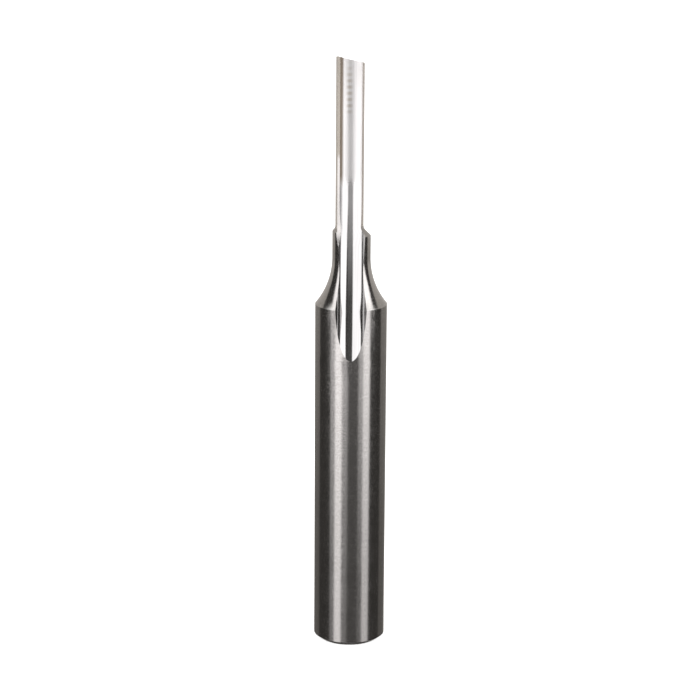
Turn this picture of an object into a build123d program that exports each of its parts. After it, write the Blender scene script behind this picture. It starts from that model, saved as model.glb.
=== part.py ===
from build123d import *
import os
from math import acos, atan2, cos, degrees, radians, sin, sqrt, tan

# Straight single-flute router bit, ground from one round blank of solid carbide.
# It stands on the flat end of its shank: the origin is the centre of that face,
# +Z runs along the axis to the tip, and the flute opens towards -Y.
# Bearings are degrees about +Z, counter-clockwise from +X. Lengths are millimetres.

# Whole bit
overall_length = 50.0

# Shank
shank_diameter = 6.0
bevel_width = 0.5
bevel_height = 0.37

# Neck, which ends in a concave flare out to the shank
neck_diameter = 3.2
neck_length = 6.4
flare_radius = 6.2

# Cutter: a relieved body set off the bit's axis, and one tooth out to the cutting circle
cutter_length = 14.3
cutting_diameter = 3.0
edge_bearing = 217.6
body_diameter = 2.34
body_offset = 0.19
body_bearing = 189.0

# Step where the relief grind ends against the neck
step_slope = 45.0
step_fillet = 0.6
step_round = 0.12

# Flute: a round-nosed wheel runs straight down from the tip, then lifts out through the shank
flute_radius = 1.31
flute_floor = 0.39
flute_side = 0.01
flute_straight = 11.8
flute_wheel_radius = 34.3

# Hone: a narrow flat on the cutting edge, inside the flute, that fades out in the neck.
# Its wheel reaches this far past the edge, which is just into the open flute.
hone_angle = 20.0
hone_straight = 13.9
hone_wheel_radius = 6.0
hone_wheel_width = 0.8
hone_reach = 0.24

# End grind: it falls away across the flute, and behind the cutting corner
dish_angle = 12.2
end_relief_angle = 12.2

# How far the grinding tools' shapes stand clear of the blank
clearance = 1.0

# Worked out from the sizes above
shank_radius = shank_diameter / 2
neck_radius = neck_diameter / 2
cutting_radius = cutting_diameter / 2
body_radius = body_diameter / 2
step_height = overall_length - cutter_length
shank_length = step_height - neck_length
outside = shank_radius + clearance
top = overall_length + clearance


def polar(radius, bearing):
    """The point at this radius and bearing from the bit's axis."""
    return Vector(radius * cos(radians(bearing)), radius * sin(radians(bearing)))


# The blank: shank, flare and neck are one turned profile.
# The flare's arc is tangent to the neck and ends on the shank's rim.
flare_rise = shank_radius - neck_radius
flare_top = shank_length + sqrt(2 * flare_radius * flare_rise - flare_rise**2)

with BuildPart() as bit:
    with BuildSketch(Plane.XZ):
        with BuildLine():
            Polyline((0, 0), (shank_radius - bevel_width, 0), (shank_radius, bevel_height))
            Line((shank_radius, bevel_height), (shank_radius, shank_length))
            TangentArc((neck_radius, flare_top), (shank_radius, shank_length), tangent=(0, -1))
            Polyline((neck_radius, flare_top), (neck_radius, overall_length), (0, overall_length))
            Line((0, overall_length), (0, 0))
        make_face()
    revolve(axis=Axis.Z)

# The tooth: a wedge that stands out of the relieved body up to the cutting edge.
# The land behind the edge is a flat, tangent to that body.
body_centre = polar(body_offset, body_bearing)
cutting_edge = polar(cutting_radius, edge_bearing)
edge_arm = cutting_edge - body_centre
edge_arm_bearing = degrees(atan2(edge_arm.Y, edge_arm.X))
land_bearing = edge_arm_bearing - degrees(acos(body_radius / edge_arm.length))
land_foot = body_centre + polar(body_radius, land_bearing)
land_run = (cutting_edge - land_foot).normalized()
tooth_crest = cutting_edge + land_run * neck_radius

# The relief grind: everything outside the body, from the step up, apart from the tooth
step_foot = step_height - (outside - body_radius) * tan(radians(step_slope))
body_axis = Axis((body_centre.X, body_centre.Y, 0), (0, 0, 1))
body_plane = Plane(body_centre, x_dir=(1, 0, 0), z_dir=(0, -1, 0))

with BuildPart() as relief:
    with BuildSketch(body_plane) as relief_profile:
        with BuildLine():
            Polyline((outside, top), (body_radius, top), (body_radius, step_height))
            Polyline((body_radius, step_height), (outside, step_foot), (outside, top))
        make_face()
        fillet(relief_profile.vertices().group_by(Axis.X)[0].sort_by(Axis.Y)[0], step_fillet)
    revolve(axis=body_axis)
    with BuildSketch():
        with BuildLine():
            Polyline(body_centre, land_foot, tooth_crest, close=True)
        make_face()
    extrude(amount=top, mode=Mode.SUBTRACT)

# The flute: the wheel's nose is round, and its sides are open towards the flute's mouth
flute_foot = overall_length - flute_straight
flute_plane = Plane((-flute_side, -flute_floor, flute_foot), x_dir=(1, 0, 0), z_dir=(0, 0, 1))
flute_axle = Axis((0, -flute_floor - flute_wheel_radius, flute_foot), (-1, 0, 0))
flute_lift = degrees(acos(1 - (outside - flute_floor) / flute_wheel_radius))

with BuildPart() as flute:
    with BuildSketch(flute_plane) as flute_profile:
        with Locations((0, -flute_radius)):
            Circle(flute_radius)
            Rectangle(2 * flute_radius, outside, align=(Align.CENTER, Align.MAX))
    extrude(amount=top - flute_foot)
    revolve(flute_profile.sketch, axis=flute_axle, revolution_arc=flute_lift)

# The hone: a flat through the cutting edge, ended by a small wheel that lifts away from it
hone_foot = overall_length - hone_straight
hone_run = polar(1, hone_angle)
hone_plane = Plane(cutting_edge + Vector(0, 0, hone_foot), x_dir=hone_run, z_dir=(0, 0, 1))
hone_axle = Axis(hone_plane.from_local_coords((0, -hone_wheel_radius, 0)), -hone_plane.x_dir)
hone_lift = degrees(acos(1 - hone_wheel_width / hone_wheel_radius))

with BuildPart() as hone:
    with BuildSketch(hone_plane) as hone_profile:
        with Locations((hone_reach, 0)):
            Rectangle(hone_wheel_width, hone_wheel_width, align=(Align.MAX, Align.MAX))
    extrude(amount=top - hone_foot)
    revolve(hone_profile.sketch, axis=hone_axle, revolution_arc=hone_lift)

# The end grind: the plane that passes through the cutting corner
end_normal = (tan(radians(dish_angle)), tan(radians(end_relief_angle)), 1)
end_plane = Plane(cutting_edge + Vector(0, 0, overall_length), z_dir=end_normal)

# The grinds are taken out of the blank, and the step's rim is rounded before the flute cuts it
with bit:
    add(relief.part, mode=Mode.SUBTRACT)
    neck_wall = bit.faces().filter_by(GeomType.CYLINDER).sort_by(Axis.Z)[1]
    fillet(neck_wall.edges().filter_by(GeomType.BSPLINE), step_round)
    add(flute.part, mode=Mode.SUBTRACT)
    add(hone.part, mode=Mode.SUBTRACT)
    split(bisect_by=end_plane, keep=Keep.BOTTOM)

bit.part.label = "router_bit"

os.makedirs("parts", exist_ok=True)
export_step(bit.part, "parts/router_bit.step")
print("volume", round(bit.part.volume, 2), "solids", len(bit.solids()), "faces", len(bit.faces()))
print("box", bit.part.bounding_box())
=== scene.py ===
"""Looks of a straight single-flute router bit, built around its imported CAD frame.

The bit stands on the flat end of its shank at the origin, +Z runs to the tip, and the
flute opens towards -Y, where the camera stands. The CAD solid is replaced by one closed
surface of fine grids, one for each ground surface, so that every grind has its own finish.
Shapes are worked out in millimetres and bearings in degrees about +Z, counter-clockwise
from +X; meshes are in metres.
"""

import logging
from dataclasses import dataclass, field
from enum import Enum
from typing import Callable

import bmesh
import bpy
import numpy as np
from mathutils import Matrix, Vector


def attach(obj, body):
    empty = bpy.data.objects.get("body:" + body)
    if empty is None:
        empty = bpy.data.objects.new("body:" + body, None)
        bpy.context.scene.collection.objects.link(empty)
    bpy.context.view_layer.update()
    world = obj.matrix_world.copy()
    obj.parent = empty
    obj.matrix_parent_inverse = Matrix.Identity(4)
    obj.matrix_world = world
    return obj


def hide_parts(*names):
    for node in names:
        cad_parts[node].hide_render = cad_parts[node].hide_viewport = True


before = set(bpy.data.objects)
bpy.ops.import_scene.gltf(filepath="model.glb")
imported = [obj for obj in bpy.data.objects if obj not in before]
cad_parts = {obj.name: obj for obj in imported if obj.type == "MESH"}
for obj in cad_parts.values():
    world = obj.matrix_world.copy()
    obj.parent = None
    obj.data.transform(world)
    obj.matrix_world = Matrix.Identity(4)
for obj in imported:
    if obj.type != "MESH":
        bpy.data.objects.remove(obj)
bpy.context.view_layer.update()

logging.basicConfig(level=logging.INFO, format="%(name)s: %(message)s")
log = logging.getLogger("router_bit_scene")

MM = 0.001

# Bearings on the wall that are clear of the flute, to the left and to the right of it
LEFT_WALL = 200.0
RIGHT_WALL = 0.0

# How many degrees the land's flat is followed from where it touches the body
LAND_LIMIT = 75.0

# How far above the flare the search for the hone's end begins, in millimetres
CLEAR = 0.01

# Nearly all values of the noise texture lie in this range
NOISE_RANGE = (0.3, 0.7)
NOISE_ROUGHNESS = 0.6

# A value as a function of one array, and points as a function of share and bearing
Shape = Callable[[np.ndarray], np.ndarray]
Place = Callable[[np.ndarray, np.ndarray], np.ndarray]


def find_root(
    value: Shape, inner: np.ndarray, outer: np.ndarray, halvings: int = 60
) -> np.ndarray:
    """Halves the span again and again towards the place where a value changes its sign.

    Args:
        value: A function of an array of places, above zero on the inner side.
        inner: The places where the value is above zero.
        outer: The places where the value is zero or less.
        halvings: How often the span is halved.

    Returns:
        The places of the roots, one for each pair.
    """
    inner = np.array(inner, float)
    outer = np.array(outer, float)
    for _ in range(halvings):
        middle = (inner + outer) / 2
        solid = value(middle) > 0
        inner = np.where(solid, middle, inner)
        outer = np.where(solid, outer, middle)
    return (inner + outer) / 2


def unit(bearing: np.ndarray) -> tuple[np.ndarray, np.ndarray]:
    """The cosine and sine of a bearing in degrees."""
    return np.cos(np.radians(bearing)), np.sin(np.radians(bearing))


def between(start: np.ndarray, end: np.ndarray, share: np.ndarray) -> np.ndarray:
    """The point that lies a share of the way from start to end."""
    return start + (end - start) * share


def row_shares(count: int, power: float = 1.0) -> np.ndarray:
    """Shares up to 1 without 0, evenly spaced or, with a power above 1, closer together near 0."""
    return np.linspace(0, 1, count + 1)[1:] ** power


def grid_faces(rows: int, columns: int, first: int = 0) -> np.ndarray:
    """The quads between the points of a grid, whose numbers run along its rows.

    Args:
        rows: The number of rows of points.
        columns: The number of points in a row.
        first: The number of the grid's first point.

    Returns:
        The quads, four point numbers each.
    """
    index = first + np.arange(rows * columns).reshape(rows, columns)
    corners = [index[:-1, :-1], index[:-1, 1:], index[1:, 1:], index[1:, :-1]]
    return np.stack(corners, axis=-1).reshape(-1, 4)


def place_mesh(name: str, points: np.ndarray, faces: np.ndarray) -> bpy.types.Object:
    """Makes an object at the origin from points in metres and their faces.

    Args:
        name: The name of the object and its mesh.
        points: The points.
        faces: The faces' point numbers.

    Returns:
        The object, linked to the scene.
    """
    mesh = bpy.data.meshes.new(name)
    mesh.from_pydata(points.reshape(-1, 3), [], faces)
    piece = bpy.data.objects.new(name, mesh)
    bpy.context.scene.collection.objects.link(piece)
    return piece


class Surface(Enum):
    """The ground surfaces of the bit, in the order of its material slots."""

    BASE = 0
    BEVEL = 1
    SHANK = 2
    FLARE = 3
    NECK = 4
    RELIEF = 5
    FLUTE = 6
    HONE = 7
    TIP = 8


class Grain(Enum):
    """The way that a grinding wheel's lines run over a surface."""

    ROUND = "round the axis"
    ALONG = "along the bit"
    ACROSS = "across the end"


@dataclass(frozen=True)
class BitSizes:
    """Driving sizes in millimetres and degrees, the same as those of the CAD source."""

    overall_length: float = 50.0
    shank_radius: float = 3.0
    bevel_width: float = 0.5
    bevel_height: float = 0.37
    neck_radius: float = 1.6
    neck_length: float = 6.4
    flare_radius: float = 6.2
    cutter_length: float = 14.3
    cutting_radius: float = 1.5
    edge_bearing: float = 217.6
    body_radius: float = 1.17
    body_offset: float = 0.19
    body_bearing: float = 189.0
    step_slope: float = 45.0
    step_fillet: float = 0.6
    step_round: float = 0.12
    flute_radius: float = 1.31
    flute_floor: float = 0.39
    flute_side: float = 0.01
    flute_straight: float = 11.8
    flute_wheel_radius: float = 34.3
    hone_angle: float = 20.0
    hone_straight: float = 13.9
    hone_wheel_radius: float = 6.0
    dish_angle: float = 12.2
    end_relief_angle: float = 12.2


class BitShape:
    """The bit's walls and grinds as functions of height and bearing."""

    def __init__(self, sizes: BitSizes) -> None:
        """Works out the places that the grinds share from the driving sizes.

        Args:
            sizes: The driving sizes.
        """
        self.sizes = sizes
        s = sizes
        self.step_height = s.overall_length - s.cutter_length
        self.shank_length = self.step_height - s.neck_length
        rise = s.shank_radius - s.neck_radius
        self.flare_turn = np.arccos(1 - rise / s.flare_radius)
        self.flare_top = self.shank_length + s.flare_radius * np.sin(self.flare_turn)
        cos_b, sin_b = unit(s.body_bearing)
        self.body = np.array([s.body_offset * cos_b, s.body_offset * sin_b])
        cos_e, sin_e = unit(s.edge_bearing)
        self.edge = np.array([s.cutting_radius * cos_e, s.cutting_radius * sin_e])
        arm = self.edge - self.body
        reach = np.hypot(*arm)
        turn = np.degrees(np.arctan2(arm[1], arm[0])) % 360
        self.land_bearing = turn - np.degrees(np.arccos(s.body_radius / reach))
        self.flute_foot = s.overall_length - s.flute_straight
        self.flute_axle = -s.flute_floor - s.flute_wheel_radius
        self.flute_centre = s.flute_wheel_radius - s.flute_radius
        self.hone_foot = s.overall_length - s.hone_straight
        self.hone_run = np.array(unit(s.hone_angle))
        self.hone_out = np.array([-self.hone_run[1], self.hone_run[0]])
        lowest = (-s.flute_side, -np.sqrt(s.shank_radius**2 - s.flute_side**2))
        lift = np.sqrt(s.flute_wheel_radius**2 - (lowest[1] - self.flute_axle) ** 2)
        self.runout_foot = self.flute_foot - lift
        gap = np.array(lowest) - self.body
        self.runout_bearing = np.degrees(np.arctan2(gap[1], gap[0])) % 360
        self.slope = np.radians(s.step_slope)
        self.rim_trim = s.step_round * np.tan(self.slope / 2)
        self.hone_tip = self.fade_height()

    def circle_reach(self, bearing: np.ndarray, radius: np.ndarray) -> np.ndarray:
        """How far a circle about the bit's axis is from the relieved body's centre.

        Args:
            bearing: The bearing of the ray that leaves the body's centre.
            radius: The circle's radius.

        Returns:
            The length of the ray from the body's centre to the circle.
        """
        cos_b, sin_b = unit(bearing)
        along = self.body[0] * cos_b + self.body[1] * sin_b
        return -along + np.sqrt(radius**2 - self.body @ self.body + along**2)

    def cutter_reach(self, bearing: np.ndarray) -> np.ndarray:
        """The relieved body's radius, which on the land follows the flat tangent to it."""
        past = np.radians(np.clip(bearing - self.land_bearing, 0, LAND_LIMIT))
        return self.sizes.body_radius / np.cos(past)

    def step_rise(self, reach: np.ndarray) -> np.ndarray:
        """Height of the step's slope: a straight cone that turns into the body by a fillet.

        Args:
            reach: The distance from the relieved body's centre line.

        Returns:
            The height of the slope at that distance.
        """
        s = self.sizes
        out = np.maximum(reach - s.body_radius, 0)
        slope = self.slope
        fillet_centre = self.step_height + s.step_fillet * (1 - np.sin(slope)) / np.cos(slope)
        inside = np.minimum(out, s.step_fillet)
        curved = fillet_centre - np.sqrt(s.step_fillet**2 - (s.step_fillet - inside) ** 2)
        straight = self.step_height - out * np.tan(slope)
        return np.where(out < s.step_fillet * (1 - np.sin(slope)), curved, straight)

    def wheel_depth(self, y: np.ndarray, z: np.ndarray) -> np.ndarray:
        """Distance from the flute wheel's axle, or from its line where the flute is straight."""
        below = np.minimum(z - self.flute_foot, 0)
        return np.hypot(y - self.flute_axle, below)

    def flute_gap(self, point: np.ndarray) -> np.ndarray:
        """How far points are outside the flute's round nose.

        It is their distance from the centre line of the nose's arc, less the nose's radius.

        Args:
            point: The points, in millimetres.

        Returns:
            The distances, below zero where the flute grinds the point away.
        """
        x, y, z = np.moveaxis(point, -1, 0)
        nose = np.maximum(self.wheel_depth(y, z) - self.flute_centre, 0)
        return np.hypot(x + self.sizes.flute_side, nose) - self.sizes.flute_radius

    def hone_lift(self, z: np.ndarray) -> np.ndarray:
        """How far the hone's flat has fallen back from the cutting edge, along its wheel's arc.

        Args:
            z: The heights.

        Returns:
            The falls, which are below zero under the hone's straight part.
        """
        radius = self.sizes.hone_wheel_radius
        below = np.clip(self.hone_foot - z, 0, radius)
        return np.sqrt(radius**2 - below**2) - radius

    def hone_gap(self, point: np.ndarray) -> np.ndarray:
        """How far a point is behind the hone's flat; below zero it is ground away."""
        across = (point[..., :2] - self.edge) @ self.hone_out
        return across - self.hone_lift(point[..., 2])

    def end_height(self, x: np.ndarray, y: np.ndarray) -> np.ndarray:
        """Height of the end grind's plane, which passes through the cutting corner.

        Args:
            x: The places across the bit, in millimetres.
            y: The places along the line of sight.

        Returns:
            The plane's heights there.
        """
        s = self.sizes
        dish = np.tan(np.radians(s.dish_angle)) * (x - self.edge[0])
        relief = np.tan(np.radians(s.end_relief_angle)) * (y - self.edge[1])
        return s.overall_length - dish - relief

    def wall(self, bearing: np.ndarray, reach: np.ndarray, z: np.ndarray) -> np.ndarray:
        """Points at a bearing and reach from the body's centre line, at a height.

        Args:
            bearing: The bearings in degrees.
            reach: The distances from the body's centre line.
            z: The heights.

        Returns:
            The points.
        """
        cos_b, sin_b = unit(bearing)
        x = self.body[0] + reach * cos_b
        y = self.body[1] + reach * sin_b
        return np.stack([x, y, z + np.zeros_like(x)], axis=-1)

    def turned(self, radius: Shape, height: Shape) -> Place:
        """The place function of a wall turned about the bit's axis.

        Args:
            radius: The wall's radius as a function of the share.
            height: Its height as a function of the share.

        Returns:
            A function of share and bearing that gives the wall's points.
        """

        def place(share: np.ndarray, bearing: np.ndarray) -> np.ndarray:
            """The turned wall's points at a share and a bearing."""
            return self.wall(bearing, self.circle_reach(bearing, radius(share)), height(share))

        return place

    def neck_reach(self, bearing: np.ndarray) -> np.ndarray:
        """How far the neck's wall is from the body's centre line."""
        return self.circle_reach(bearing, self.sizes.neck_radius)

    def rim_height(self, bearing: np.ndarray) -> np.ndarray:
        """Height at which the step's slope meets the neck's wall, before the rim is rounded."""
        return self.step_rise(self.neck_reach(bearing))

    def slope_reach(self, bearing: np.ndarray) -> np.ndarray:
        """How far the upper end of the rim's round is from the body's centre line."""
        return self.neck_reach(bearing) - self.rim_trim * np.cos(self.slope)

    def upper_neck(self, share: np.ndarray, bearing: np.ndarray) -> np.ndarray:
        """The neck's wall from the hone's end up to the rim's round."""
        height = between(self.hone_tip, self.rim_height(bearing) - self.rim_trim, share)
        return self.wall(bearing, self.neck_reach(bearing), height)

    def rim(self, share: np.ndarray, bearing: np.ndarray) -> np.ndarray:
        """The rim's round, a parabola tangent to the neck's wall and to the step's slope.

        Args:
            share: The share of the way from the wall to the slope.
            bearing: The bearings in degrees.

        Returns:
            The points.
        """
        reach = self.neck_reach(bearing) - share**2 * self.rim_trim * np.cos(self.slope)
        drop = (1 - share) ** 2 * self.rim_trim
        lift = share**2 * self.rim_trim * np.sin(self.slope)
        return self.wall(bearing, reach, self.rim_height(bearing) - drop + lift)

    def rise(self, share: np.ndarray, bearing: np.ndarray) -> np.ndarray:
        """The step's slope and fillet, from the rim's round in to the relieved body.

        Args:
            share: The share of the way inwards.
            bearing: The bearings in degrees.

        Returns:
            The points.
        """
        start = self.slope_reach(bearing)
        end = np.minimum(self.cutter_reach(bearing), start)
        reach = between(start, end, share)
        return self.wall(bearing, reach, self.step_rise(reach))

    def relief(self, share: np.ndarray, bearing: np.ndarray) -> np.ndarray:
        """The relieved body and the tooth, from the step up to the height of the flute's lift."""
        reach = np.minimum(self.cutter_reach(bearing), self.slope_reach(bearing))
        return self.wall(bearing, reach, between(self.step_rise(reach), self.flute_foot, share))

    def tip(self, share: np.ndarray, bearing: np.ndarray) -> np.ndarray:
        """The relieved body and the tooth, from there up to the end grind's plane.

        Args:
            share: The share of the way up.
            bearing: The bearings in degrees.

        Returns:
            The points.
        """
        point = self.wall(bearing, self.cutter_reach(bearing), self.flute_foot)
        end = self.end_height(point[..., 0], point[..., 1])
        point[..., 2] = between(self.flute_foot, end, share)
        return point

    def fade_height(self) -> float:
        """The height on the neck where the hone leaves the flute's rim and fades out.

        Returns:
            The height in millimetres.
        """

        def past(z: np.ndarray) -> np.ndarray:
            """How far the flute's left rim is behind the hone's flat at a height."""
            bearing = find_root(
                lambda b: self.flute_gap(self.wall(b, self.neck_reach(b), z)),
                np.full_like(z, LEFT_WALL),
                np.full_like(z, self.runout_bearing),
            )
            return self.hone_gap(self.wall(bearing, self.neck_reach(bearing), z))

        start = np.array([self.flare_top + CLEAR])
        return float(find_root(past, start, np.array([self.hone_foot]))[0])


@dataclass
class Band:
    """One run of rows up the bit: its surface, and a share from 0 at its foot to 1 at its head.

    The flute opens most bands, the hone cuts the upper ones, and the last one ends at the tip.
    """

    surface: Surface
    shares: np.ndarray
    place: Place
    opened: bool = True
    honed: bool = True
    to_tip: bool = False


@dataclass
class Sheet:
    """A grid of points with a surface for each row of faces and a flat map in millimetres.

    The patch is a number of its own, because edges between two sheets stay hard.
    """

    points: np.ndarray
    surfaces: np.ndarray
    flat: np.ndarray
    patch: int


@dataclass
class GroundBit:
    """The whole bit as one closed mesh, made of a wall, a flute, a hone and two ends.

    The columns, rows and rings say how fine each grid is. The hone's inner rim is looked for
    up to hone_search along its flat. Faces that meet past the crease angle have a hard edge,
    and rims are merged within merge_distance, in metres.
    """

    sizes: BitSizes = field(default_factory=BitSizes)
    land_columns: int = 14
    back_columns: int = 90
    flute_columns: int = 36
    hone_columns: int = 4
    shank_rows: int = 14
    runout_rows: int = 60
    flare_rows: int = 48
    neck_rows: int = 8
    upper_rows: int = 16
    upper_crowding: float = 1.5
    rim_rows: int = 5
    slope_rows: int = 18
    relief_rows: int = 20
    tip_rows: int = 150
    end_rings: int = 8
    hone_search: float = 0.5
    end_centre: tuple[float, float] = (-0.1, 0.6)
    crease_angle: float = 22.0
    merge_distance: float = 2e-7

    def __post_init__(self) -> None:
        """Works out the shape from the sizes."""
        self.shape = BitShape(self.sizes)

    def bands(self) -> list[Band]:
        """The bands of rows from the foot to the tip, each a function of share and bearing.

        Rows crowd towards the run-out's foot, whose height goes with the share squared, and
        towards the hone's end.

        Returns:
            The bands in order. A band's first row is the one before its first share.
        """
        s, shape = self.sizes, self.shape
        turn = shape.flare_turn
        bevel_in = s.shank_radius - s.bevel_width
        bevel = shape.turned(
            lambda t: between(bevel_in, s.shank_radius, t),
            lambda t: s.bevel_height * t,
        )
        shank = shape.turned(
            lambda t: s.shank_radius + 0 * t,
            lambda t: between(s.bevel_height, shape.runout_foot, t),
        )
        cut_shank = shape.turned(
            lambda t: s.shank_radius + 0 * t,
            lambda t: between(shape.runout_foot, shape.shank_length, t**2),
        )
        flare = shape.turned(
            lambda t: s.neck_radius + s.flare_radius * (1 - np.cos(turn * (1 - t))),
            lambda t: shape.flare_top - s.flare_radius * np.sin(turn * (1 - t)),
        )
        neck = shape.turned(
            lambda t: s.neck_radius + 0 * t,
            lambda t: between(shape.flare_top, shape.hone_tip, t),
        )
        upper_shares = row_shares(self.upper_rows, self.upper_crowding)
        return [
            Band(Surface.BEVEL, np.array([0.0, 1.0]), bevel, opened=False, honed=False),
            Band(Surface.SHANK, row_shares(self.shank_rows), shank, opened=False, honed=False),
            Band(Surface.SHANK, row_shares(self.runout_rows), cut_shank, honed=False),
            Band(Surface.FLARE, row_shares(self.flare_rows), flare, honed=False),
            Band(Surface.NECK, row_shares(self.neck_rows), neck, honed=False),
            Band(Surface.NECK, upper_shares, shape.upper_neck),
            Band(Surface.NECK, row_shares(self.rim_rows), shape.rim),
            Band(Surface.NECK, row_shares(self.slope_rows), shape.rise),
            Band(Surface.RELIEF, row_shares(self.relief_rows), shape.relief),
            Band(Surface.RELIEF, row_shares(self.tip_rows), shape.tip, to_tip=True),
        ]

    def rim_gap(self, band: Band, bearing: np.ndarray, honed: bool) -> np.ndarray:
        """How far a band's wall is outside the flute, and outside the hone where that cuts it.

        Args:
            band: The band.
            bearing: The bearings, one for each of the band's rows.
            honed: Whether the hone counts too.

        Returns:
            The gaps, below zero where the wall is ground away.
        """
        point = band.place(band.shares, bearing)
        gap = self.shape.flute_gap(point)
        return np.minimum(gap, self.shape.hone_gap(point)) if honed else gap

    def rims(self, band: Band) -> tuple[np.ndarray, np.ndarray]:
        """The bearings of a band's left and right rim, where the gaps of the grinds are zero.

        Args:
            band: The band. One that the flute does not open has both at the same seam.

        Returns:
            The left rim's bearings, and the right one's up to a full turn below them.
        """
        low = np.full_like(band.shares, self.shape.runout_bearing)
        if not band.opened:
            return low, low - 360
        left_wall = np.full_like(low, LEFT_WALL)
        right_wall = np.full_like(low, RIGHT_WALL)
        left = find_root(lambda b: self.rim_gap(band, b, band.honed), left_wall, low)
        right = find_root(lambda b: self.rim_gap(band, b, False), right_wall, low - 360)
        return left, right

    def band_rows(self, band: Band) -> tuple[np.ndarray, np.ndarray, np.ndarray]:
        """One band's rows of the wall, of the flute and of the hone.

        The wall's points are spread evenly over the land, and then round the back to the heel.
        The hone's lie on straight lines between its two rims.

        Args:
            band: The band.

        Returns:
            The three grids of points.
        """
        left, right = self.rims(band)
        land = np.full_like(left, self.shape.land_bearing)
        ahead = np.linspace(0, 1, self.land_columns + 1)
        bearings = np.concatenate(
            [
                between(left[:, None], land[:, None], ahead),
                between(land[:, None], right[:, None], row_shares(self.back_columns)),
            ],
            axis=1,
        )
        wall = band.place(band.shares[:, None] + 0 * bearings, bearings)
        if not band.opened:
            wall[:, -1] = wall[:, 0]
        outer, heel = wall[:, 0], wall[:, -1]
        inner = self.hone_root(outer, band) if band.honed else outer.copy()
        across = np.linspace(0, 1, self.hone_columns + 1)[:, None]
        flute = self.flute_rows(heel, inner, band)
        hone = between(outer[:, None], inner[:, None], across)
        return wall, flute, hone

    def wall_and_flute(self) -> list[Sheet]:
        """The wall from one rim of the flute round the back to the other, the flute and the hone.

        The flute begins in a point on the last row that it doesn't open, and so does the hone.

        Returns:
            The wall's sheet, the flute's, and the hone's.
        """
        bands = self.bands()
        wall, flute, hone = (
            np.concatenate(grids) for grids in zip(*(self.band_rows(band) for band in bands))
        )
        kinds = np.concatenate([np.full(len(band.shares), band.surface.value) for band in bands])
        first_open = sum(len(band.shares) for band in bands if not band.opened) - 1
        first_honed = sum(len(band.shares) for band in bands if not band.honed) - 1
        flute[first_open] = wall[first_open, 0]
        hone[first_honed] = wall[first_honed, 0]
        girth = np.linspace(0, 2 * np.pi * self.sizes.neck_radius, wall.shape[1])
        return [
            Sheet(wall, kinds[1:], self.flat_map(wall, girth), 0),
            self.strip(flute[first_open:], Surface.FLUTE, 1),
            self.strip(hone[first_honed:], Surface.HONE, 2),
        ]

    def strip(self, points: np.ndarray, surface: Surface, patch: int) -> Sheet:
        """A sheet of one surface, mapped flat by its width and its length along the bit.

        Args:
            points: The grid of points.
            surface: The surface's finish.
            patch: The number that parts this sheet's edges from its neighbours'.

        Returns:
            The sheet.
        """
        kinds = np.full(len(points) - 1, surface.value)
        across = np.linalg.norm(np.diff(points, axis=1), axis=-1)
        middle = across.sum(axis=1, keepdims=True) / 2
        girth = np.concatenate([np.zeros((len(points), 1)), np.cumsum(across, axis=1)], axis=1)
        return Sheet(points, kinds, self.flat_map(points, girth - middle), patch)

    def flat_map(self, points: np.ndarray, girth: np.ndarray) -> np.ndarray:
        """The flat map of a sheet: distance across it, and distance along the bit.

        Args:
            points: The grid of points.
            girth: The distance across, for each column or each point.

        Returns:
            The map's two values for each point.
        """
        along = points[..., 2]
        return np.stack([girth + 0 * along, along], axis=-1)

    def hone_points(self, run: np.ndarray, outer: np.ndarray, band: Band) -> np.ndarray:
        """Points of the hone's flat, a run inwards from the cutting edge.

        Args:
            run: The distances along the flat, one for each row.
            outer: The hone's outer points, whose heights the points take below the tip's band.
            band: The band that the rows belong to.

        Returns:
            The points.
        """
        shape = self.shape
        lift = shape.hone_lift(outer[:, 2])
        flat = shape.edge + run[:, None] * shape.hone_run + lift[:, None] * shape.hone_out
        height = outer[:, 2]
        if band.to_tip:
            end = shape.end_height(flat[:, 0], flat[:, 1])
            height = between(shape.flute_foot, end, band.shares)
        return np.concatenate([flat, height[:, None]], axis=1)

    def hone_root(self, outer: np.ndarray, band: Band) -> np.ndarray:
        """Where the hone's flat meets the flute, found along a straight line from the edge.

        Args:
            outer: The hone's outer points, one for each row.
            band: The band that the rows belong to.

        Returns:
            The hone's inner points.
        """
        shape = self.shape
        start = (outer[:, :2] - shape.edge) @ shape.hone_run
        end = np.full_like(start, self.hone_search)
        run = find_root(lambda r: shape.flute_gap(self.hone_points(r, outer, band)), start, end)
        return self.hone_points(np.maximum(run, start), outer, band)

    def flute_rows(self, heel: np.ndarray, inner: np.ndarray, band: Band) -> np.ndarray:
        """Rows over the flute, an arc about the wheel's nose from the heel to the inner rim.

        Args:
            heel: The points on the heel's rim.
            inner: The points on the rim beside the hone.
            band: The band that the rows belong to.

        Returns:
            The grid of points, whose two end columns are the rims.
        """
        s, shape = self.sizes, self.shape
        across = np.linspace(0, 1, self.flute_columns + 1)

        def turn(point: np.ndarray) -> np.ndarray:
            """The angle of a rim's points about the centre of the wheel's nose."""
            depth = shape.wheel_depth(point[:, 1], point[:, 2]) - shape.flute_centre
            return np.arctan2(point[:, 0] + s.flute_side, depth)

        angle = between(turn(heel)[:, None], turn(inner)[:, None], across)
        height = between(heel[:, 2:3], inner[:, 2:3], across)
        x = -s.flute_side + s.flute_radius * np.sin(angle)
        depth = shape.flute_centre + s.flute_radius * np.cos(angle)
        if band.to_tip:
            end = shape.end_height(x, shape.flute_axle + depth)
            height = between(shape.flute_foot, end, band.shares[:, None])
        below = np.minimum(height - shape.flute_foot, 0)
        y = shape.flute_axle + np.sqrt(np.maximum(depth**2 - below**2, 0))
        rows = np.stack([x, y, height], axis=-1)
        rows[:, 0] = heel
        rows[:, -1] = inner
        return rows

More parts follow.
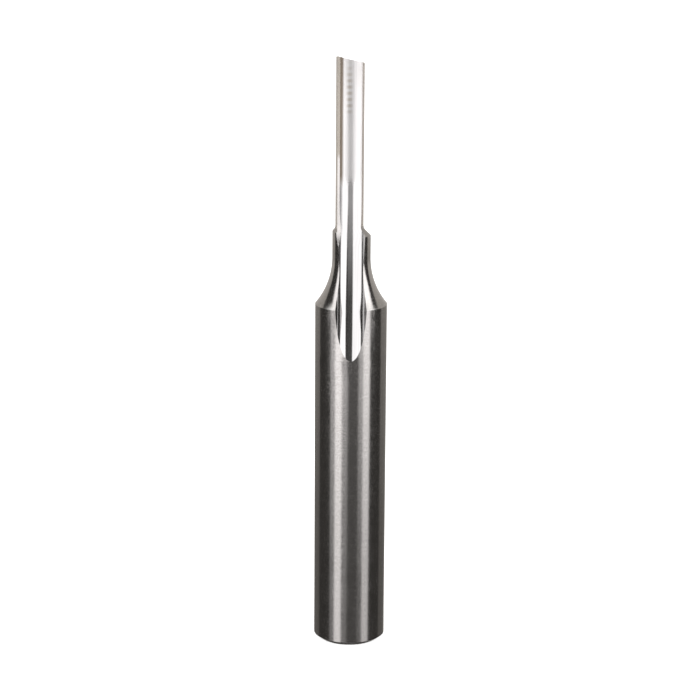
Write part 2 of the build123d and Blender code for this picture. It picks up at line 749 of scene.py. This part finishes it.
    def ends(self, sheets: list[Sheet]) -> list[Sheet]:
        """The flat base and the end grind, each a fan of rings about a centre.

        Args:
            sheets: The wall, the flute and the hone, whose rims the ends join.

        Returns:
            The base's sheet and the tip's.
        """
        wall, flute, hone = (sheet.points for sheet in sheets)
        base_rim = wall[0]
        tip_rim = np.concatenate([wall[-1], flute[-1, 1:], hone[-1, ::-1][1:]])
        x, y = self.end_centre
        tip_centre = np.array([x, y, self.shape.end_height(x, y)])
        ends = []
        rims = ((base_rim, np.zeros(3), Surface.BASE), (tip_rim, tip_centre, Surface.TIP))
        for patch, (rim, centre, surface) in enumerate(rims, start=len(sheets)):
            ring = np.linspace(0, 1, self.end_rings + 1)[:, None, None]
            points = between(centre, rim[None], ring)
            kinds = np.full(self.end_rings, surface.value)
            ends.append(Sheet(points, kinds, points[..., :2], patch))
        return ends

    def build(self) -> bpy.types.Object:
        """Joins the sheets into one closed mesh with outward faces and creased grinds.

        Returns:
            The bit's object, which sits at the origin.
        """
        sheets = self.wall_and_flute()
        sheets += self.ends(sheets)
        points, faces, kinds, patches, corners = [], [], [], [], []
        offset = 0
        for sheet in sheets:
            rows, columns = sheet.points.shape[:2]
            quad = grid_faces(rows, columns, offset)
            points.append(sheet.points.reshape(-1, 3))
            faces.append(quad)
            kinds.append(np.repeat(sheet.surfaces, columns - 1))
            patches.append(np.full((rows - 1) * (columns - 1), sheet.patch))
            corners.append(sheet.flat.reshape(-1, 2)[quad.reshape(-1) - offset])
            offset += rows * columns
        piece = place_mesh("ground_bit", np.concatenate(points) * MM, np.concatenate(faces))
        mesh = piece.data
        mesh.polygons.foreach_set("material_index", np.concatenate(kinds).astype(np.int32))
        patch_layer = mesh.attributes.new("patch", "INT", "FACE")
        patch_layer.data.foreach_set("value", np.concatenate(patches).astype(np.int32))
        flat_layer = mesh.uv_layers.new(name="flat_map")
        flat_layer.data.foreach_set("uv", np.concatenate(corners).astype(np.float32).ravel())
        self.close(mesh)
        return piece

    def dress(self, piece: bpy.types.Object) -> None:
        """Gives each ground surface its own finish, in the order of the material slots."""
        for surface in Surface:
            piece.data.materials.append(FINISHES[surface].material())

    def close(self, mesh: bpy.types.Mesh) -> None:
        """Merges the sheets' shared rims, turns the faces outwards and creases the grinds' edges.

        Args:
            mesh: The mesh of all the sheets, which is changed in place.
        """
        work = bmesh.new()
        work.from_mesh(mesh)
        bmesh.ops.remove_doubles(work, verts=work.verts, dist=self.merge_distance)
        bmesh.ops.recalc_face_normals(work, faces=work.faces)
        patch = work.faces.layers.int["patch"]
        limit = np.radians(self.crease_angle)
        for edge in work.edges:
            sides = edge.link_faces
            parted = len(sides) == 2 and sides[0][patch] != sides[1][patch]
            edge.smooth = not (parted or edge.calc_face_angle(0) > limit)
        for face in work.faces:
            face.smooth = True
        loose = [edge for edge in work.edges if len(edge.link_faces) != 2]
        log.info("closed surface: %d faces, %d open edges", len(work.faces), len(loose))
        work.to_mesh(mesh)
        work.free()
        mesh.attributes.remove(mesh.attributes["patch"])


class NodeTree:
    """A material's or a world's nodes, with short calls for the kinds that are used here."""

    def __init__(self, owner: bpy.types.ID) -> None:
        """Empties the owner's node tree.

        Args:
            owner: The material or the world.
        """
        owner.use_nodes = True
        self.nodes = owner.node_tree.nodes
        self.links = owner.node_tree.links
        self.nodes.clear()

    def add(self, kind: str, **inputs: object) -> bpy.types.Node:
        """Makes a node and fills in its inputs.

        Args:
            kind: The node's type name, without the word that all shader nodes start with.
            inputs: Values or sockets by the input's name, with _ for a space.

        Returns:
            The node.
        """
        node = self.nodes.new("ShaderNode" + kind)
        for name, value in inputs.items():
            self.fill(node.inputs[name.replace("_", " ")], value)
        return node

    def fill(self, socket: bpy.types.NodeSocket, value: object) -> None:
        """Sets an input to a value, or links it to another node's output.

        Args:
            socket: The input.
            value: The value, or the other node's output.
        """
        if isinstance(value, bpy.types.NodeSocket):
            self.links.new(value, socket)
        else:
            socket.default_value = value

    def operate(self, kind: str, operation: str, values: tuple[object, ...]) -> bpy.types.Node:
        """Makes a node for a sum and fills in its inputs in their order.

        Args:
            kind: The node's type name, Math or VectorMath.
            operation: The sum's name.
            values: Values or sockets, one for each input.

        Returns:
            The node.
        """
        node = self.add(kind)
        node.operation = operation
        for socket, value in zip(node.inputs, values):
            self.fill(socket, value)
        return node

    def math(self, operation: str, *values: object) -> bpy.types.NodeSocket:
        """The result of a sum on numbers."""
        return self.operate("Math", operation, values).outputs["Value"]

    def vector(self, operation: str, *values: object) -> bpy.types.NodeSocket:
        """The result of a sum on vectors or colours."""
        return self.operate("VectorMath", operation, values).outputs["Vector"]

    def scale(self, vector: object, strength: object) -> bpy.types.NodeSocket:
        """A vector or colour times a number.

        Args:
            vector: The vector or colour.
            strength: The number.

        Returns:
            The product's socket.
        """
        node = self.operate("VectorMath", "SCALE", (vector,))
        self.fill(node.inputs["Scale"], strength)
        return node.outputs["Vector"]

    def blend(self, kind: str, *shaders: object, **inputs: object) -> bpy.types.NodeSocket:
        """Two shaders joined by a node that adds or mixes them.

        Args:
            kind: The node's type name, AddShader or MixShader.
            shaders: The two shaders' outputs.
            inputs: The node's other inputs, as for add.

        Returns:
            The joined shader's output.
        """
        node = self.add(kind, **inputs)
        sockets = [socket for socket in node.inputs if socket.type == "SHADER"]
        for socket, shader in zip(sockets, shaders):
            self.fill(socket, shader)
        return node.outputs["Shader"]

    def ramp(
        self,
        value: object,
        start: float,
        end: float,
        low: object = 0.0,
        high: object = 1.0,
        smooth: bool = True,
    ) -> bpy.types.NodeSocket:
        """A value's passage from low at the start to high at the end, level outside them.

        Args:
            value: The value that passes.
            start: Where the result leaves low.
            end: Where it reaches high.
            low: The result before the start.
            high: The result past the end.
            smooth: Whether the passage is rounded at both ends.

        Returns:
            The result's socket.
        """
        node = self.add("MapRange", Value=value, To_Min=low, To_Max=high)
        self.fill(node.inputs["From Min"], start)
        self.fill(node.inputs["From Max"], end)
        node.interpolation_type = "SMOOTHSTEP" if smooth else "LINEAR"
        return node.outputs["Result"]

    def noise(
        self, place: object, scale: tuple[float, float, float], detail: float
    ) -> bpy.types.NodeSocket:
        """Cloudy noise about one half, whose cells are one over the scale along each axis.

        Args:
            place: The place that the noise is read at.
            scale: The cells for each unit of length, along the three axes.
            detail: How many finer layers are added.

        Returns:
            The noise's socket.
        """
        stretch = self.add("Mapping", Vector=place, Scale=scale).outputs["Vector"]
        node = self.add("TexNoise", Vector=stretch, Scale=1.0, Detail=detail)
        self.fill(node.inputs["Roughness"], NOISE_ROUGHNESS)
        return node.outputs["Fac"]


@dataclass(frozen=True)
class GroundFinish:
    """A ground carbide surface: its tone, its gloss and the marks that the wheel left.

    Lengths are in millimetres. Lines, specks and clouds are noise that changes the tone and
    the gloss. From the height dull_from the surface passes to the dull tone and roughness.
    The corner is a strip of the flat map that is rougher above its span, and darker where the
    surface is dull: painted shade in the flute's corner. The chatter leaves dark marks a pitch
    apart, and the wear roughens the top.
    """

    name: str
    tone: tuple[float, float, float]
    roughness: float
    grain: Grain
    anisotropy: float = 0.0
    line_pitch: float = 0.09
    line_length: float = 1.6
    line_tone: float = 0.03
    line_depth: float = 0.2
    line_height: float = 0.004
    line_detail: float = 2.0
    speck_size: float = 0.13
    speck_tone: float = 0.08
    speck_gloss: float = 0.25
    speck_detail: float = 1.0
    cloud_size: float = 2.4
    cloud_tone: float = 0.02
    cloud_gloss: float = 0.15
    cloud_detail: float = 3.0
    dull_from: float = 0.0
    dull_over: float = 0.8
    dull_tone: tuple[float, float, float] = (0.4, 0.4, 0.4)
    dull_roughness: float = 0.3
    chatter_pitch: float = 0.0
    chatter_span: tuple[float, float] = (44.8, 50.4)
    chatter_rise: float = 1.0
    chatter_fall: float = 3.0
    chatter_middle: float = 0.1
    chatter_width: float = 0.4
    chatter_tone: tuple[float, float, float] = (0.26, 0.3, 0.36)
    wear_span: tuple[float, float] = (45.0, 50.0)
    wear_roughness: float = 0.1
    corner: tuple[float, float] = (0.54, 0.82)
    # Painted shade: the share of each colour that the flute's corner loses where it is dull
    painted_corner_shade: tuple[float, float, float] = (0.0, 0.0, 0.0)
    corner_roughness: float = 0.2
    corner_span: tuple[float, float] = (34.6, 36.4)

    def material(self) -> bpy.types.Material:
        """Builds the finish from lines, specks and clouds of noise.

        The tone is multiplied by all three factors, and the roughness by the last two.

        Returns:
            The material.
        """
        material = bpy.data.materials.new(self.name)
        tree = NodeTree(material)
        coords = tree.add("TexCoord").outputs
        place, flat = coords["Object"], coords["UV"]
        height = tree.math("DIVIDE", tree.add("SeparateXYZ", Vector=place).outputs["Z"], MM)
        lines = self.lines(tree, flat if self.grain is Grain.ALONG else place)
        speck = tree.noise(place, (1 / MM / self.speck_size,) * 3, self.speck_detail)
        cloud = tree.noise(place, (1 / MM / self.cloud_size,) * 3, self.cloud_detail)
        strength = self.spread(tree, lines, self.line_tone)
        strength = tree.math("MULTIPLY", strength, self.spread(tree, speck, self.speck_tone))
        strength = tree.math("MULTIPLY", strength, self.spread(tree, cloud, self.cloud_tone))
        gloss = self.spread(tree, cloud, self.cloud_gloss)
        gloss = tree.math("MULTIPLY", gloss, self.spread(tree, speck, self.speck_gloss))
        roughness = tree.math("MULTIPLY", gloss, self.roughness)
        tone, roughness = self.dulled(tree, height, flat, roughness)
        if self.chatter_pitch:
            tone = self.darken(tree, tone, self.chatter_tone, self.chatter(tree, flat))
            wear = tree.ramp(height, *self.wear_span, 0.0, self.wear_roughness)
            roughness = tree.math("ADD", roughness, wear)
        relief = tree.add("Bump", Strength=self.line_depth, Height=lines)
        tree.fill(relief.inputs["Distance"], self.line_height * MM)
        shader = tree.add(
            "BsdfPrincipled",
            Base_Color=tree.scale(tone, strength),
            Metallic=1.0,
            Roughness=roughness,
            Anisotropic=self.anisotropy,
            Normal=relief.outputs["Normal"],
        )
        if self.anisotropy:
            tree.fill(shader.inputs["Tangent"], self.tangent(tree))
        tree.add("OutputMaterial", Surface=shader.outputs["BSDF"])
        return material

    def lines(self, tree: NodeTree, place: bpy.types.NodeSocket) -> bpy.types.NodeSocket:
        """The wheel's lines: noise that is long the way the wheel ran, and narrow across it.

        Args:
            tree: The material's nodes.
            place: The flat map in millimetres for lines along the bit, else the place in metres.

        Returns:
            The noise's socket.
        """
        long, fine = 1 / self.line_length, 1 / self.line_pitch
        if self.grain is Grain.ALONG:
            return tree.noise(place, (fine, long, 1.0), self.line_detail)
        scale = (long, long, fine) if self.grain is Grain.ROUND else (long, fine, long)
        return tree.noise(place, tuple(value / MM for value in scale), self.line_detail)

    def spread(
        self, tree: NodeTree, noise: bpy.types.NodeSocket, share: float
    ) -> bpy.types.NodeSocket:
        """Noise as a factor that stays within a share of one."""
        return tree.ramp(noise, *NOISE_RANGE, 1 - share, 1 + share, smooth=False)

    def darken(
        self, tree: NodeTree, tone: object, loss: tuple[float, float, float], share: object
    ) -> bpy.types.NodeSocket:
        """A tone times one less a share of the loss, for each of its three colours."""
        left = tree.vector("SUBTRACT", (1.0, 1.0, 1.0), tree.scale(loss, share))
        return tree.vector("MULTIPLY", tone, left)

    def dulled(
        self,
        tree: NodeTree,
        height: bpy.types.NodeSocket,
        flat: bpy.types.NodeSocket,
        roughness: bpy.types.NodeSocket,
    ) -> tuple[object, bpy.types.NodeSocket]:
        """The tone and the roughness with the dull upper part and the painted shade in its corner.

        Args:
            tree: The material's nodes.
            height: The height in millimetres.
            flat: The flat map.
            roughness: The roughness without them.

        Returns:
            The tone and the roughness.
        """
        if not self.dull_from:
            return self.tone, roughness
        dull = tree.ramp(height, self.dull_from, self.dull_from + self.dull_over)
        change = tuple(end - start for start, end in zip(self.tone, self.dull_tone))
        tone = tree.vector("ADD", tree.scale(change, dull), self.tone)
        rise = tree.math("MULTIPLY", dull, self.dull_roughness - self.roughness)
        roughness = tree.math("ADD", roughness, rise)
        if any(self.painted_corner_shade):
            aside = tree.ramp(tree.add("SeparateXYZ", Vector=flat).outputs["X"], *self.corner)
            rise = tree.ramp(height, *self.corner_span, 0.0, self.corner_roughness)
            roughness = tree.math("MULTIPLY_ADD", aside, rise, roughness)
            # Painted shade: the corner strip's tone is darkened where the surface is dull
            painted_shade = tree.math("MULTIPLY", aside, dull)
            tone = self.darken(tree, tone, self.painted_corner_shade, painted_shade)
        return tone, roughness

    def chatter(self, tree: NodeTree, flat: bpy.types.NodeSocket) -> bpy.types.NodeSocket:
        """A share that rises once every pitch, highest along the middle of the flute.

        It is a cosine of the height, faded out at both ends of its span and to the sides.

        Args:
            tree: The material's nodes.
            flat: The flat map.

        Returns:
            The share's socket.
        """
        low, high = self.chatter_span
        parts = tree.add("SeparateXYZ", Vector=flat).outputs
        height = parts["Y"]
        aside = tree.math("ABSOLUTE", tree.math("SUBTRACT", parts["X"], self.chatter_middle))
        rise = tree.ramp(height, low, low + self.chatter_rise)
        fade = tree.math("MULTIPLY", rise, tree.ramp(height, high, high - self.chatter_fall))
        fade = tree.math("MULTIPLY", fade, tree.ramp(aside, self.chatter_width, 0.0))
        wave = tree.math("COSINE", tree.math("MULTIPLY", height, 2 * np.pi / self.chatter_pitch))
        return tree.math("MULTIPLY", fade, tree.ramp(wave, -1.0, 1.0))

    def tangent(self, tree: NodeTree) -> bpy.types.NodeSocket:
        """The direction across the wheel's lines, in which highlights are stretched.

        Args:
            tree: The material's nodes.

        Returns:
            The direction's socket.
        """
        normal = tree.add("NewGeometry").outputs["Normal"]
        around = tree.vector("CROSS_PRODUCT", (0.0, 0.0, 1.0), normal)
        if self.grain is Grain.ALONG:
            return around
        return tree.vector("CROSS_PRODUCT", normal, around)


CARBIDE = (0.46, 0.445, 0.43)

FINISHES = {
    Surface.BASE: GroundFinish("ground_base", CARBIDE, 0.34, Grain.ACROSS),
    Surface.BEVEL: GroundFinish("ground_bevel", CARBIDE, 0.3, Grain.ROUND, anisotropy=0.5),
    Surface.SHANK: GroundFinish(
        "ground_shank",
        CARBIDE,
        0.18,
        Grain.ROUND,
        anisotropy=0.5,
        line_tone=0.05,
        line_length=0.9,
        line_depth=0.32,
        speck_tone=0.09,
    ),
    Surface.FLARE: GroundFinish("ground_flare", CARBIDE, 0.16, Grain.ROUND, anisotropy=0.5),
    Surface.NECK: GroundFinish("ground_neck", CARBIDE, 0.18, Grain.ROUND, anisotropy=0.6),
    Surface.RELIEF: GroundFinish(
        "ground_relief",
        # Painted light: the carbide's tone painted much lighter, for the bright reflections this
        # rough, grazing wall catches
        (0.74, 0.7, 0.65),
        0.45,
        Grain.ROUND,
        anisotropy=0.3,
    ),
    Surface.FLUTE: GroundFinish(
        "ground_flute",
        (0.48, 0.475, 0.47),
        0.11,
        Grain.ALONG,
        anisotropy=0.3,
        line_tone=0.06,
        line_length=6.0,
        speck_tone=0.0,
        speck_gloss=0.0,
        dull_from=38.9,
        dull_over=1.4,
        dull_tone=(0.66, 0.65, 0.64),
        dull_roughness=0.42,
        chatter_pitch=0.51,
        # Painted shade in the flute's corner, which takes the most from blue
        painted_corner_shade=(0.6, 0.66, 0.72),
    ),
    Surface.HONE: GroundFinish(
        "ground_hone",
        CARBIDE,
        0.2,
        Grain.ALONG,
        anisotropy=0.5,
        dull_from=41.4,
        dull_tone=(0.34, 0.31, 0.27),
        dull_roughness=0.3,
    ),
    Surface.TIP: GroundFinish("ground_tip", CARBIDE, 0.26, Grain.ACROSS),
}


class Tier(Enum):
    """The lower and the upper half of the tent."""

    LOWER = "lower"
    UPPER = "upper"


@dataclass(frozen=True)
class Panel:
    """One soft-edged softbox or card in a tier of the tent, by azimuth from the camera's side.

    Its two edges lean from their foot azimuths to their head ones, in degrees, and its light
    passes from its foot level to its head level.
    """

    tier: Tier
    foot: tuple[float, float]
    head: tuple[float, float]
    light: tuple[float, float]
    warm: bool = False


@dataclass(frozen=True)
class Lamp:
    """A soft disk lamp: its name, its place in metres and its power in watts."""

    name: str
    place: tuple[float, float, float]
    power: float


@dataclass
class Studio:
    """The pale floor, the light tent that the metal mirrors, the soft lamps and the camera.

    The tent's shade, levels and tints say how bright its panels and the gaps between them are.
    Its lower and upper tier pass into each other between their heights, and the feather is the
    width of a panel's soft edge in degrees. Lengths are in metres.
    """

    tent_radius: float = 0.08
    tent_low: float = -0.3
    tent_high: float = 0.17
    tent_turns: int = 96
    tent_rings: int = 8
    lower: tuple[float, float] = (-0.02, 0.013)
    upper: tuple[float, float] = (0.021, 0.05)
    feather: float = 8.0
    shade: float = 0.06
    warm_tint: tuple[float, float, float] = (1.0, 0.95, 0.9)
    clean_tint: tuple[float, float, float] = (1.0, 0.985, 1.0)
    pit: tuple[float, float] = (-0.075, -0.045)
    pit_light: float = 0.1
    ceiling: tuple[float, float] = (0.084, 0.12)
    ceiling_light: float = 1.9
    floor_size: float = 6.0
    floor_squares: int = 8
    floor_glow: float = 0.68
    paper: tuple[float, float, float, float] = (0.8, 0.8, 0.8, 1.0)
    white: tuple[float, float, float, float] = (1.0, 1.0, 1.0, 1.0)
    world_strength: float = 0.6
    lamps: tuple[Lamp, ...] = (
        Lamp("key_lamp", (-0.5, -0.5, 0.8), 9.0),
        Lamp("fill_lamp", (0.7, -0.3, 0.6), 5.0),
    )
    lamp_size: float = 0.6
    lamp_aim: tuple[float, float, float] = (0.0, 0.0, 0.02)
    camera_place: tuple[float, float, float] = (-0.000066, -0.19969, 0.07748)
    camera_dip: float = 14.65
    camera_roll: float = 0.406
    camera_lens: float = 127.08
    camera_sensor: float = 36.0
    camera_near: float = 0.01
    panels: tuple[Panel, ...] = (
        Panel(Tier.LOWER, (-66.0, -9.0), (-66.0, -9.0), (0.25, 0.85)),
        Panel(Tier.LOWER, (-50.0, -27.0), (-50.0, -27.0), (1.0, 1.1)),
        Panel(Tier.LOWER, (-9.0, 25.0), (-9.0, 25.0), (0.05, 0.09)),
        Panel(Tier.LOWER, (25.0, 63.0), (25.0, 63.0), (0.15, 0.85)),
        Panel(Tier.LOWER, (40.0, 63.0), (40.0, 63.0), (0.7, 0.9)),
        Panel(Tier.LOWER, (110.0, 245.0), (110.0, 245.0), (0.1, 0.25), warm=True),
        Panel(Tier.LOWER, (155.0, 200.0), (155.0, 200.0), (0.35, 0.25), warm=True),
        Panel(Tier.UPPER, (-78.0, -9.0), (-80.0, -12.0), (2.1, 2.0)),
        Panel(Tier.UPPER, (25.0, 78.0), (41.0, 90.0), (2.1, 2.3)),
        Panel(Tier.UPPER, (-9.0, 25.0), (-9.0, 25.0), (0.6, 0.05)),
        Panel(Tier.UPPER, (110.0, 245.0), (110.0, 245.0), (0.6, 0.5), warm=True),
    )

    def build(self) -> None:
        """Makes the floor, the tent, the lamps, the world and the camera."""
        self.build_floor()
        self.build_tent()
        self.build_world()
        self.build_lamps()
        self.build_camera()

    def build_floor(self) -> None:
        """A plain pale floor, white to the camera where no shadow falls on it."""
        half = self.floor_size / 2
        side = np.linspace(-half, half, self.floor_squares + 1)
        x, y = np.meshgrid(side, side)
        points = np.stack([x, y, 0 * x], axis=-1)
        floor = place_mesh("floor", points, grid_faces(*x.shape))
        floor.visible_glossy = False
        floor.data.materials.append(self.floor_material())

    def floor_material(self) -> bpy.types.Material:
        """Pale paper, with a glow of its own that only the camera sees.

        Returns:
            The material.
        """
        material = bpy.data.materials.new("pale_floor")
        tree = NodeTree(material)
        paper = tree.add("BsdfDiffuse", Color=self.paper).outputs["BSDF"]
        glow = tree.add("Emission", Strength=self.floor_glow).outputs["Emission"]
        lit = tree.blend("AddShader", paper, glow)
        seen = tree.add("LightPath").outputs["Is Camera Ray"]
        tree.add("OutputMaterial", Surface=tree.blend("MixShader", paper, lit, Fac=seen))
        return material

    def build_tent(self) -> None:
        """A tall round tent about the bit, which only the metal's reflections see."""
        turns = np.linspace(0, 2 * np.pi, self.tent_turns + 1)
        heights = np.linspace(self.tent_low, self.tent_high, self.tent_rings + 1)
        turn, height = np.meshgrid(turns, heights)
        x = self.tent_radius * np.sin(turn)
        y = -self.tent_radius * np.cos(turn)
        points = np.stack([x, y, height], axis=-1)
        tent = place_mesh("light_tent", points, grid_faces(*turn.shape))
        tent.visible_camera = False
        tent.visible_diffuse = False
        tent.visible_shadow = False
        tent.visible_transmission = False
        tent.data.materials.append(self.tent_material())

    def tent_material(self) -> bpy.types.Material:
        """The tent's light: its shade and panels, under a bright ceiling and over a dark pit.

        Azimuths are counted from the camera's side, in degrees.

        Returns:
            The material.
        """
        material = bpy.data.materials.new("tent_light")
        material.cycles.emission_sampling = "NONE"
        tree = NodeTree(material)
        place = tree.add("NewGeometry").outputs["Position"]
        parts = tree.add("SeparateXYZ", Vector=place).outputs
        height = parts["Z"]
        front = tree.math("MULTIPLY", parts["Y"], -1.0)
        azimuth = tree.math("DEGREES", tree.math("ARCTAN2", parts["X"], front))
        passing = tree.ramp(height, self.lower[1], self.upper[0], smooth=False)
        within = {Tier.LOWER: tree.math("SUBTRACT", 1.0, passing), Tier.UPPER: passing}
        rise = {
            Tier.LOWER: tree.ramp(height, *self.lower, smooth=False),
            Tier.UPPER: tree.ramp(height, *self.upper, smooth=False),
        }
        total = tree.scale(self.warm_tint, self.shade)
        for panel in self.panels:
            tier = panel.tier
            light = self.panel_light(tree, panel, azimuth, rise[tier], within[tier])
            total = tree.vector("ADD", total, light)
        above = tree.ramp(height, *self.ceiling)
        total = tree.scale(total, tree.math("SUBTRACT", 1.0, above))
        glow = tree.scale((1.0, 1.0, 1.0), tree.math("MULTIPLY", above, self.ceiling_light))
        total = tree.vector("ADD", total, glow)
        total = tree.scale(total, tree.ramp(height, *self.pit, self.pit_light, 1.0))
        light = tree.add("Emission", Color=total)
        tree.add("OutputMaterial", Surface=light.outputs["Emission"])
        return material

    def panel_light(
        self,
        tree: NodeTree,
        panel: Panel,
        azimuth: bpy.types.NodeSocket,
        rise: bpy.types.NodeSocket,
        within: bpy.types.NodeSocket,
    ) -> bpy.types.NodeSocket:
        """The light that a panel adds: its level and tint between its two soft edges.

        The share falls from one to nothing over the feather, which lies half on each side of
        the place where the azimuth is half the panel's width from its middle.

        Args:
            tree: The tent material's nodes.
            panel: The panel.
            azimuth: The azimuth of the place on the tent.
            rise: The share of the way from the foot of the panel's tier to its head.
            within: How much the tier counts at this height.

        Returns:
            The light's colour.
        """
        start, end = (
            tree.math("MULTIPLY_ADD", rise, head - foot, foot)
            for foot, head in zip(panel.foot, panel.head)
        )
        middle = tree.math("MULTIPLY", tree.math("ADD", start, end), 0.5)
        half_width = tree.math("MULTIPLY", tree.math("SUBTRACT", end, start), 0.5)
        turned = tree.math("WRAP", tree.math("SUBTRACT", azimuth, middle), 180.0, -180.0)
        past = tree.math("SUBTRACT", tree.math("ABSOLUTE", turned), half_width)
        share = tree.math("MULTIPLY", tree.ramp(past, self.feather / 2, -self.feather / 2), within)
        foot, head = panel.light
        level = tree.math("MULTIPLY_ADD", rise, head - foot, foot)
        tint = self.warm_tint if panel.warm else self.clean_tint
        return tree.scale(tint, tree.math("MULTIPLY", share, level))

    def build_world(self) -> None:
        """A pale world, plain white to the camera and in reflections."""
        world = bpy.data.worlds.new("pale_world")
        bpy.context.scene.world = world
        tree = NodeTree(world)
        soft = tree.add("Background", Color=self.paper, Strength=self.world_strength)
        white = tree.add("Background", Color=self.white)
        rays = tree.add("LightPath").outputs
        seen = tree.math("MAXIMUM", rays["Is Camera Ray"], rays["Is Glossy Ray"])
        clear = tree.math("MAXIMUM", seen, rays["Is Transmission Ray"])
        shaders = (soft.outputs["Background"], white.outputs["Background"])
        tree.add("OutputWorld", Surface=tree.blend("MixShader", *shaders, Fac=clear))

    def build_lamps(self) -> None:
        """The soft lamps over the floor, which the metal does not mirror."""
        for lamp in self.lamps:
            light = bpy.data.lights.new(lamp.name, "AREA")
            light.shape = "DISK"
            light.size = self.lamp_size
            light.energy = lamp.power
            holder = bpy.data.objects.new(lamp.name, light)
            holder.location = lamp.place
            aim = Vector(self.lamp_aim) - holder.location
            holder.rotation_euler = aim.to_track_quat("-Z", "Y").to_euler()
            holder.visible_glossy = False
            bpy.context.scene.collection.objects.link(holder)

    def build_camera(self) -> None:
        """The camera, fitted to the photo's view: a long lens that looks slightly down."""
        data = bpy.data.cameras.new("camera")
        data.lens = self.camera_lens
        data.sensor_width = self.camera_sensor
        data.clip_start = self.camera_near
        camera = bpy.data.objects.new("camera", data)
        dip = np.radians(self.camera_dip)
        turn = Matrix(
            (
                (1, 0, 0),
                (0, np.sin(dip), -np.cos(dip)),
                (0, np.cos(dip), np.sin(dip)),
            )
        )
        turn = turn @ Matrix.Rotation(np.radians(self.camera_roll), 3, "Z")
        camera.matrix_world = Matrix.Translation(self.camera_place) @ turn.to_4x4()
        bpy.context.scene.collection.objects.link(camera)
        bpy.context.scene.camera = camera


def main() -> None:
    """Builds the bit and its studio."""
    bpy.context.scene.view_settings.view_transform = "Standard"
    bit = GroundBit()
    piece = bit.build()
    bit.dress(piece)
    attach(piece, "root")
    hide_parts("router_bit")
    log.info("ground_bit: %d points, %d faces", len(piece.data.vertices), len(piece.data.polygons))
    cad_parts["router_bit"].data.materials[0] = FINISHES[Surface.SHANK].material()
    Studio().build()


if __name__ == "__main__":
    main()
